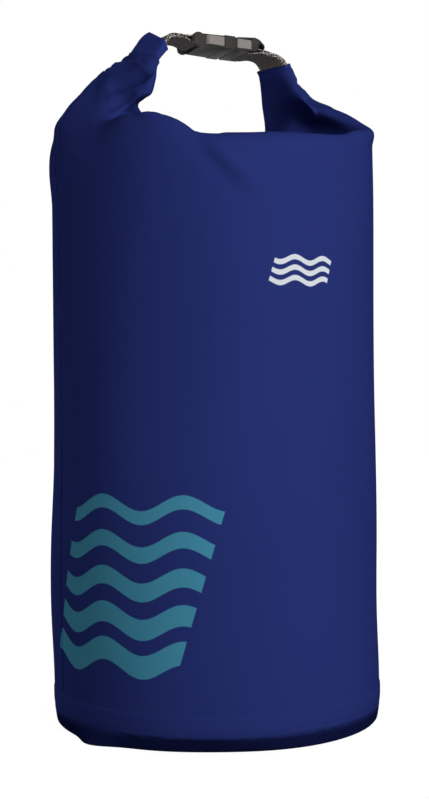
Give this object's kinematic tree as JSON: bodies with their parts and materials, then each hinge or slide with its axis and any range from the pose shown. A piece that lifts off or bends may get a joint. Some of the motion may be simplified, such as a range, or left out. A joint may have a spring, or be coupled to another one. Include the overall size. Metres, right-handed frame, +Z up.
{
  "type": "roll-top dry bag",
  "caption": "Roll-top dry bag in navy coated fabric, closed, with its rolled mouth drawn up into a carrying loop by webbing and a side-release buckle.",
  "frame": {"origin": "middle of the base's underside, on the axis of the tube", "axes": "+Z up along the tube, +X to the right along the flattened roll, front of the bag towards -Y"},
  "size_m": [0.2426, 0.2426, 0.5087],
  "materials": {
    "coated_fabric": "matte coated",
    "hem_fabric": "matte coated",
    "stiffener_plastic": "plain",
    "webbing": "woven",
    "buckle_dark": "fine moulded texture",
    "buckle_light": "fine moulded texture"
  },
  "bodies": {
    "bag": {"tube_wall": "coated_fabric", "side_seam_lap": "coated_fabric", "base_panel": "coated_fabric"},
    "closure": {"rolled_collar": "coated_fabric", "mouth_hem": "hem_fabric", "front_stiffener": "stiffener_plastic", "back_stiffener": "stiffener_plastic", "left_webbing": "webbing", "right_webbing": "webbing", "buckle_plug": "buckle_dark"},
    "socket": {"buckle_socket": "buckle_dark"},
    "front_lever_body": {"front_lever": "buckle_light"},
    "back_lever_body": {"back_lever": "buckle_light"}
  },
  "joints": [
    {"name": "closure_tilt", "type": "hinge", "parent": "bag", "child": "closure", "pos_m": [0.001, 0, 0.41], "axis": [1, 0, 0], "range_deg": [-15, 20]},
    {"name": "buckle_release", "type": "slide", "parent": "closure", "child": "socket", "axis": [-0.9998, 0, 0.0175], "range_m": [0, 0.02], "deforming": ["left_webbing", "front_lever", "back_lever"]},
    {"name": "front_lever_squeeze", "type": "hinge", "parent": "closure", "child": "front_lever_body", "pos_m": [0.02369, -0.00559, 0.50308], "axis": [-0.0175, 0, -0.9998], "range_deg": [0, 8], "stiffness_Nm_per_rad": 0.05},
    {"name": "back_lever_squeeze", "type": "hinge", "parent": "closure", "child": "back_lever_body", "pos_m": [0.02369, 0.02201, 0.50308], "axis": [0.0175, 0, 0.9998], "range_deg": [0, 8], "stiffness_Nm_per_rad": 0.05}
  ],
  "couplings": [
    {"joint": "back_lever_squeeze", "follows": "front_lever_squeeze", "ratio": 1}
  ]
}
